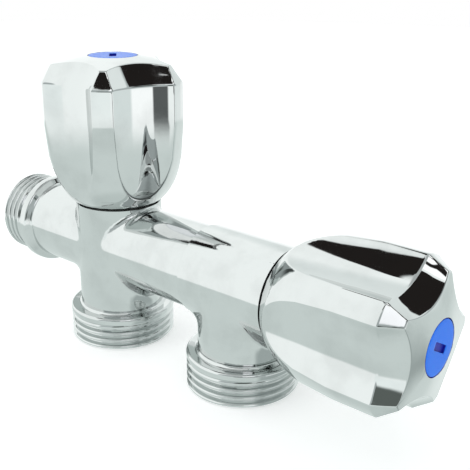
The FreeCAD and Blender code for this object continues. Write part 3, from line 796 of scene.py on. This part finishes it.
class NodeSums:
    """Short ways to add linked math nodes to one node tree."""

    def __init__(self, tree):
        self.tree = tree

    def node(self, kind, **settings):
        made = self.tree.nodes.new(kind)
        for key, value in settings.items():
            setattr(made, key, value)
        return made

    def link(self, source, target):
        if hasattr(source, "node"):
            self.tree.links.new(source, target)
        else:
            target.default_value = source

    def math(self, operation, *values):
        made = self.node("ShaderNodeMath", operation=operation)
        for value, socket in zip(values, made.inputs):
            self.link(value, socket)
        return made.outputs[0]

    def step(self, value, low, high):
        made = self.node("ShaderNodeMapRange", interpolation_type="SMOOTHSTEP")
        for item, name in ((value, "Value"), (low, "From Min"), (high, "From Max")):
            self.link(item, made.inputs[name])
        return made.outputs["Result"]

    def mix(self, factor, first, second):
        made = self.node("ShaderNodeMix", data_type="RGBA")
        for item, number in ((factor, 0), (first, 6), (second, 7)):
            self.link(item, made.inputs[number])
        return made.outputs[2]

    def curve(self, value, points):
        """A smooth curve through (position, height) points that both run from 0 to 1."""
        made = self.node("ShaderNodeFloatCurve")
        line = made.mapping.curves[0]
        for _ in range(len(points) - 2):
            line.points.new(0.5, 0.5)
        for point, (x, y) in zip(line.points, points):
            point.location = (x, y)
        made.mapping.use_clip = False
        made.mapping.update()
        self.link(value, made.inputs["Value"])
        return made.outputs["Value"]


# Groups that make the skin of metal, plastic and rubber, which skimming light shows

def group(name, inputs, outputs):
    """A new shader node group; inputs are (name, default, least, most), outputs are names."""
    tree = bpy.data.node_groups.new(name, "ShaderNodeTree")
    for label, default, least, most in inputs:
        socket = tree.interface.new_socket(label, in_out="INPUT", socket_type="NodeSocketFloat")
        socket.default_value, socket.min_value, socket.max_value = default, least, most
    for label in outputs:
        tree.interface.new_socket(label, in_out="OUTPUT", socket_type="NodeSocketFloat")
    return tree, tree.nodes.new("NodeGroupInput").outputs, tree.nodes.new("NodeGroupOutput").inputs


def noise(sums, place, scale, detail=2.0):
    """Smooth noise from 0 to 1 over the object."""
    made = sums.node("ShaderNodeTexNoise")
    sums.link(place, made.inputs["Vector"])
    sums.link(scale, made.inputs["Scale"])
    made.inputs["Detail"].default_value = detail
    return made.outputs["Fac"]


def plating_group():
    """Skin of electroplating: slow waves left by polishing, small pits and a cloudy bloom."""
    tree, given, put = group(
        "plating_skin",
        (("Wave scale", 150, 1, 2000), ("Wave depth", 1, 0, 10), ("Pit scale", 900, 1, 9000),
         ("Pit amount", 0.4, 0, 1), ("Bloom scale", 60, 1, 2000)),
        ("Height", "Pits", "Bloom"))
    sums = NodeSums(tree)
    place = sums.node("ShaderNodeTexCoord").outputs["Object"]
    wave = noise(sums, place, given["Wave scale"], 3)
    cells = sums.node("ShaderNodeTexVoronoi", feature="F1")
    sums.link(place, cells.inputs["Vector"])
    sums.link(given["Pit scale"], cells.inputs["Scale"])
    # only some cells hold a pit, and each pit is far smaller than its cell
    patches = noise(sums, place, sums.math("MULTIPLY", given["Pit scale"], 0.37), 0)
    chosen = sums.math("LESS_THAN", patches, sums.math("MULTIPLY", given["Pit amount"], 0.5))
    pit = sums.math("MULTIPLY", sums.step(cells.outputs["Distance"], 0.28, 0.06), chosen)
    waves = sums.math("MULTIPLY", wave, given["Wave depth"])
    sums.link(sums.math("SUBTRACT", waves, sums.math("MULTIPLY", pit, 0.25)), put["Height"])
    sums.link(pit, put["Pits"])
    sums.link(sums.step(noise(sums, place, given["Bloom scale"], 4), 0.42, 0.72), put["Bloom"])
    return tree


def turning_group():
    """Fine rings left by turning on a lathe, and staining that collects between them."""
    tree, given, put = group(
        "turning_marks",
        (("Ring scale", 1500, 1, 9000), ("Stain scale", 300, 1, 5000)), ("Height", "Stain"))
    sums = NodeSums(tree)
    place = sums.node("ShaderNodeTexCoord").outputs["Object"]
    rings = sums.node("ShaderNodeTexNoise")
    stretch = sums.node("ShaderNodeVectorMath", operation="MULTIPLY")
    stretch.inputs[1].default_value = (1.0, 0.06, 1.0)
    sums.link(place, stretch.inputs[0])
    tree.links.new(stretch.outputs[0], rings.inputs["Vector"])
    sums.link(given["Ring scale"], rings.inputs["Scale"])
    tree.links.new(rings.outputs["Fac"], put["Height"])
    tree.links.new(sums.step(noise(sums, place, given["Stain scale"], 5), 0.35, 0.75), put["Stain"])
    return tree


def moulding_group():
    """Grain of moulded plastic, rubber and pressed fibre, with paler scuffed places."""
    tree, given, put = group(
        "moulded_grain",
        (("Grain scale", 2500, 1, 20000), ("Scuff scale", 400, 1, 9000)), ("Height", "Scuff"))
    sums = NodeSums(tree)
    place = sums.node("ShaderNodeTexCoord").outputs["Object"]
    tree.links.new(noise(sums, place, given["Grain scale"], 4), put["Height"])
    tree.links.new(sums.step(noise(sums, place, given["Scuff scale"], 5), 0.5, 0.8), put["Scuff"])
    return tree


# Each skin's maker, the mask that brings in the worn colour, and how metallic it is
SKIN_KINDS = {
    "plating_skin": (plating_group, "Bloom", 1),
    "turning_marks": (turning_group, "Stain", 1),
    "moulded_grain": (moulding_group, "Scuff", 0),
}
SKINS = {}


def finish_material(name, kind, values, base, worn, roughness, relief, **sockets):
    """A material whose colour goes from base to worn by its skin's mask.

    values are the skin's own, roughness is (on the base, where worn), and relief is the bump's
    (strength, distance in metres).
    """
    maker, mask, metallic = SKIN_KINDS[kind]
    if kind not in SKINS:
        SKINS[kind] = maker()
    material = bpy.data.materials.new(name)
    material.use_nodes = True
    tree = material.node_tree
    shader = tree.nodes["Principled BSDF"]
    sums = NodeSums(tree)
    surface = sums.node("ShaderNodeGroup", node_tree=SKINS[kind])
    for label, value in values.items():
        surface.inputs[label].default_value = value
    colour = sums.mix(surface.outputs[mask], (*base, 1), (*worn, 1))
    sums.link(colour, shader.inputs["Base Color"])
    spread = sums.node("ShaderNodeMapRange")
    sums.link(surface.outputs[mask], spread.inputs["Value"])
    spread.inputs["To Min"].default_value, spread.inputs["To Max"].default_value = roughness
    sums.link(spread.outputs["Result"], shader.inputs["Roughness"])
    bump = sums.node("ShaderNodeBump")
    bump.inputs["Strength"].default_value, bump.inputs["Distance"].default_value = relief
    sums.link(surface.outputs["Height"], bump.inputs["Height"])
    sums.link(bump.outputs["Normal"], shader.inputs["Normal"])
    shader.inputs["Metallic"].default_value = metallic
    for label, value in sockets.items():
        shader.inputs[label.replace("_", " ")].default_value = value
    return material


def darker(colour, share):
    """The same colour at a share of its brightness."""
    return tuple(c * share for c in colour)


def cast_chrome(colours):
    """Plating over a tumbled casting: slow waves, fine pits, and a slightly cloudy shine."""
    return finish_material(
        "cast_chrome", "plating_skin",
        {"Wave scale": 260, "Pit scale": 1100, "Pit amount": 0.62, "Bloom scale": 170},
        colours.chrome, darker(colours.chrome, 0.92), (0.05, 0.08), (0.35, 0.00006))


def wheel_chrome(colours):
    """Plating over a smooth moulding, much flatter and clearer than on the castings."""
    return finish_material(
        "wheel_chrome", "plating_skin",
        {"Wave scale": 120, "Pit scale": 700, "Pit amount": 0.3, "Bloom scale": 110},
        colours.chrome, darker(colours.chrome, 0.9), (0.02, 0.06), (0.2, 0.00004))


def disc_blue(colours):
    """Glossy moulded blue plastic, a little paler where it is scuffed."""
    return finish_material(
        "disc_blue", "moulded_grain", {"Grain scale": 3000, "Scuff scale": 500},
        colours.disc, tuple(min(1, c * 1.12 + 0.01) for c in colours.disc),
        (0.28, 0.4), (0.1, 0.00002), Specular_IOR_Level=0.15)


def painted_shade_blue(colours):
    """The same plastic, darker: painted shade where it lies deeper and on the disc's outer edge."""
    return finish_material(
        "painted_shade_blue", "moulded_grain", {"Grain scale": 3000, "Scuff scale": 900},
        colours.slot, darker(colours.slot, 0.6), (0.5, 0.6), (0.1, 0.00002))


def working_finishes(colours):
    """Materials of the pieces inside, as {node name without its number: material}."""
    def turned(name, rings, stains, *rest):
        return finish_material(
            name, "turning_marks", {"Ring scale": rings, "Stain scale": stains}, *rest)

    def moulded(name, grain, scuffs, *rest):
        return finish_material(
            name, "moulded_grain", {"Grain scale": grain, "Scuff scale": scuffs}, *rest)

    brass = turned("turned_brass", 1800, 350, colours.brass, darker(colours.brass, 0.72),
                   (0.22, 0.38), (0.3, 0.00003))
    zinc = turned("zinc_steel", 2500, 500, (0.62, 0.63, 0.61), (0.50, 0.47, 0.38),
                  (0.3, 0.45), (0.25, 0.00002))
    spring = turned("spring_steel", 3000, 600, (0.30, 0.30, 0.31), (0.16, 0.15, 0.15),
                    (0.35, 0.5), (0.25, 0.00002))
    rubber = moulded("seal_rubber", 4000, 700, (0.018, 0.018, 0.019), (0.05, 0.05, 0.05),
                     (0.55, 0.7), (0.3, 0.00002))
    slip = moulded("white_slip_plastic", 5000, 800, (0.80, 0.80, 0.77), (0.70, 0.69, 0.64),
                   (0.4, 0.5), (0.2, 0.00002))
    fibre = moulded("gasket_fibre", 2200, 900, (0.20, 0.205, 0.20), (0.32, 0.32, 0.30),
                    (0.8, 0.9), (0.6, 0.00005))
    return {
        "bonnet_gasket": fibre, "bonnet": brass, "spindle_clip": spring, "spindle": brass,
        "valve_carrier": brass, "washer_screw": brass, "handle_screw": zinc,
        "upper_spindle_seal": rubber, "lower_spindle_seal": rubber, "valve_washer": rubber,
        "thrust_washer": slip,
    }


# Number, placing and origin of each valve head, and its hand wheel's angle
HEADS = ((1, upright, VALVE_1_X, HANDLE_1_TURN), (2, lying, HEAD_2_X, HANDLE_2_TURN))


class TAP_OT_headworks(bpy.types.Operator):
    """Finish the working pieces inside both valves"""
    bl_idname = "tap.headworks"
    bl_label = "Headworks"

    def execute(self, context):
        finishes = working_finishes(context.scene.tap_colours)
        for number in (1, 2):
            for kind, material in finishes.items():
                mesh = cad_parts[f"{kind}_{number}"].data
                mesh.materials.clear()
                mesh.materials.append(material)
        return {"FINISHED"}


class TAP_OT_castings(bpy.types.Operator):
    """Make both chrome-plated castings with their pipe threads"""
    bl_idname = "tap.castings"
    bl_label = "Castings"

    def execute(self, context):
        chrome = cast_chrome(context.scene.tap_colours)
        for piece, node in ((make_tee(), "inlet_tee"), (make_end(), "end_tee")):
            piece.data.materials.append(chrome)
            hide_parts(node)
            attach(piece, "valve_body")
        return {"FINISHED"}


class TAP_OT_handles(bpy.types.Operator):
    """Make both fluted hand wheels"""
    bl_idname = "tap.handles"
    bl_label = "Hand wheels"

    def execute(self, context):
        chrome = wheel_chrome(context.scene.tap_colours)
        for number, place, x, turn in HEADS:
            piece = make_handle(f"hand_wheel_{number}", lambda p: place(p, x), turn)
            piece.data.materials.append(chrome)
            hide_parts(f"handle_{number}")
            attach(piece, f"knob_{number}")
        return {"FINISHED"}


class TAP_OT_discs(bpy.types.Operator):
    """Make both blue index discs"""
    bl_idname = "tap.discs"
    bl_label = "Index discs"

    def execute(self, context):
        colours = context.scene.tap_colours
        # the second blue is painted shade for the prising slot and the disc's outer edge
        blues = disc_blue(colours), painted_shade_blue(colours)
        for number, place, x, turn in HEADS:
            piece = make_disc(
                f"cold_disc_{number}", lambda p: place(p, x), turn + PRISE_TURN, blues)
            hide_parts(f"index_disc_{number}")
            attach(piece, f"knob_{number}")
        return {"FINISHED"}


# Stage -------------------------------------------------------------------------------------------

CAMERA_PLACE = (0.1793, -0.1268, 0.0710)
CAMERA_RIGHT = (0.7662, 0.6425, 0.0104)
CAMERA_FORWARD = (-0.6003, 0.7214, -0.3451)
CAMERA_LENS = 60.39


def make_camera():
    """The camera at the viewing angle, close to the tap."""
    data = bpy.data.cameras.new("camera")
    data.lens = CAMERA_LENS
    data.sensor_width = 36
    data.clip_start = 0.01
    camera = added("camera", data)
    back = -Vector(CAMERA_FORWARD).normalized()
    right = Vector(CAMERA_RIGHT)
    right = (right - right.dot(back) * back).normalized()
    up = back.cross(right)
    turn = Matrix((right, up, back)).transposed().to_4x4()
    camera.matrix_world = Matrix.Translation(CAMERA_PLACE) @ turn
    bpy.context.scene.camera = camera


STUDIO_TURN = -50.2
FLOOR_R = 0.9
WALL_LIGHT = (1.24, 1.28, 1.27, 1)
GAP_LIGHT = (0.02, 0.017, 0.016, 1)
# The studio's dark gaps as (bearing, lowest, highest) in degrees, with bearings from the camera
FRONT_GAP = (
    (-48, 49, 51), (-30, 49.5, 56), (0, 52, 58), (20, 53.5, 58), (30, 53, 57), (34, 52.6, 56),
    (38, 51.9, 54.9), (42, 50.5, 54.1), (48, 49, 53.6), (52, 48, 55.5), (55, 46.5, 60.5),
    (70, 43, 62), (85, 38.5, 62), (96, 38.5, 61), (99, 41, 60), (110, 44, 57), (118, 39, 53),
    (122, 36.5, 48), (126, 33.5, 42))
BACK_GAP = (
    (-168, 57, 58), (-160, 57, 61.5), (-150, 57, 65), (-140, 57.3, 70), (-125, 58.5, 72),
    (-115, 60, 72), (-107, 60.9, 70), (-98, 60.9, 68), (-90, 60.5, 64))
# The studio's flats, each over the ones before:
# (middle bearing, half width, lowest, highest, softness, light)
FLATS = (
    (0, 180, 62, 91, 5, (0.55, 0.58, 0.58)),
    (36, 84, -4, 48, 4, (0.55, 0.60, 0.60)),
    (150, 32, -12, 60, 6, (0.98, 1.04, 1.03)),
    (60, 22, 18, 40, 5, (0.10, 0.11, 0.11)),
    (0, 18, -3, 14, 3, (0.14, 0.16, 0.15)),
    (-30, 32, -12, -3, 2, (1.15, 1.22, 1.21)),
    (11, 12, 27, 49, 2, (1.50, 1.50, 1.55)),
    (36, 13, 42, 64, 1, (1.55, 1.55, 1.55)),
    (73, 37, -20, -8, 1.5, (1.40, 1.42, 1.42)),
    (113, 14, 26, 46, 2, (1.05, 1.11, 1.10)),
    (100, 20, -14, -4, 3, (0.95, 1.03, 1.02)),
    (30, 12, -13, -5, 1.5, (0.14, 0.15, 0.15)),
    (165, 25, -18, 8, 4, (1.20, 1.23, 1.23)),
)
# Light on the studio's floor by bearing, below the horizon
FLOOR_FLATS = (
    (0, 180, -91, -13, 1.5, (0.80, 0.88, 0.86)),
    (65, 35, -60, -22, 8, (0.46, 0.52, 0.51)),
    (150, 26, -40, -14, 8, (0.95, 1.02, 1.0)),
    (0, 180, -91, -62, 6, (0.70, 0.78, 0.76)),
)


def make_studio(colour):
    """White walls round the tap, a pale floor below the horizon and dark gaps near the ceiling."""
    world = bpy.data.worlds.new("studio")
    bpy.context.scene.world = world
    world.use_nodes = True
    tree = world.node_tree
    sums = NodeSums(tree)
    place = sums.node("ShaderNodeTexCoord")
    turned = sums.node("ShaderNodeVectorRotate", rotation_type="Z_AXIS")
    turned.inputs["Angle"].default_value = -math.radians(STUDIO_TURN)
    tree.links.new(place.outputs["Generated"], turned.inputs["Vector"])
    parts = sums.node("ShaderNodeSeparateXYZ")
    tree.links.new(turned.outputs[0], parts.inputs[0])
    x, y, z = parts.outputs
    height = sums.math("MULTIPLY", sums.math("ARCSINE", z), 180 / math.pi)
    bearing = sums.math("MULTIPLY", sums.math("ARCTAN2", y, x), 180 / math.pi)
    across = sums.math("DIVIDE", sums.math("ADD", bearing, 180), 360)

    def band(low, high, soft):
        over = sums.step(sums.math("SUBTRACT", height, low), -soft, soft)
        under = sums.step(sums.math("SUBTRACT", high, height), -soft, soft)
        return sums.math("MULTIPLY", over, under)

    def gap(edges):
        def edge(k):
            line = sums.curve(across, [((e[0] + 180) / 360, e[k] / 90) for e in edges])
            return sums.math("MULTIPLY", line, 90)
        first = sums.step(bearing, edges[0][0] - 0.5, edges[0][0] + 0.5)
        last = sums.step(bearing, edges[-1][0] + 0.5, edges[-1][0] - 0.5)
        ends = sums.math("MULTIPLY", first, last)
        return sums.math("MULTIPLY", band(edge(1), edge(2), 0.4), ends)

    light = WALL_LIGHT
    for middle, half, low, high, soft, shade in FLATS + FLOOR_FLATS:
        shape = band(low, high, soft)
        if half < 180:
            turn = sums.math("WRAP", sums.math("SUBTRACT", bearing, middle), 180, -180)
            near = sums.step(sums.math("ABSOLUTE", turn), half + soft, half - soft)
            shape = sums.math("MULTIPLY", shape, near)
        light = sums.mix(shape, light, (*(s * c for s, c in zip(shade, colour)), 1))
    gaps = sums.math("MAXIMUM", gap(FRONT_GAP), gap(BACK_GAP))
    light = sums.mix(gaps, light, GAP_LIGHT)
    camera_ray = sums.node("ShaderNodeLightPath").outputs["Is Camera Ray"]
    light = sums.mix(camera_ray, light, (1, 1, 1, 1))
    tree.links.new(light, tree.nodes["Background"].inputs["Color"])


def make_floor():
    """A plain pale floor under the outlets."""
    body = bmesh.new()
    bmesh.ops.create_circle(body, cap_ends=True, segments=96, radius=FLOOR_R)
    mesh = bpy.data.meshes.new("floor")
    body.to_mesh(mesh)
    body.free()
    floor = added("floor", mesh)
    floor.location = (VALVE_1_X * MM, 0, OUTLET_Z * MM)
    mesh.materials.append(finish_material(
        "floor_paper", "moulded_grain", {"Grain scale": 3000, "Scuff scale": 60},
        (0.90, 0.90, 0.90), (0.89, 0.89, 0.89), (1, 1), (0.05, 0.00002),
        Specular_IOR_Level=0, Emission_Color=(1, 1, 1, 1), Emission_Strength=0.45))
    floor.visible_glossy = False


class TAP_OT_stage(bpy.types.Operator):
    """Set up the floor, the studio light and the camera"""
    bl_idname = "tap.stage"
    bl_label = "Stage"

    def execute(self, context):
        make_camera()
        make_floor()
        make_studio(context.scene.tap_colours.studio)
        context.scene.view_settings.view_transform = "Standard"
        return {"FINISHED"}


class TAP_PT_panel(bpy.types.Panel):
    """Lists the operators that build the tap"""
    bl_label = "Tap"
    bl_idname = "TAP_PT_panel"
    bl_space_type = "VIEW_3D"
    bl_region_type = "UI"
    bl_category = "Tap"

    def draw(self, context):
        for operator in STEPS:
            self.layout.operator(operator.bl_idname)


STEPS = (TAP_OT_castings, TAP_OT_handles, TAP_OT_discs, TAP_OT_headworks, TAP_OT_stage)
CLASSES = (TapSizes, TapColours) + STEPS + (TAP_PT_panel,)


def register():
    for cls in CLASSES:
        bpy.utils.register_class(cls)
    bpy.types.Scene.tap_sizes = PointerProperty(type=TapSizes)
    bpy.types.Scene.tap_colours = PointerProperty(type=TapColours)


def unregister():
    del bpy.types.Scene.tap_colours
    del bpy.types.Scene.tap_sizes
    for cls in reversed(CLASSES):
        bpy.utils.unregister_class(cls)


def main():
    """Build everything in order."""
    register()
    for operator in STEPS:
        family, action = operator.bl_idname.split(".")
        getattr(getattr(bpy.ops, family), action)()


if __name__ == "__main__":
    main()
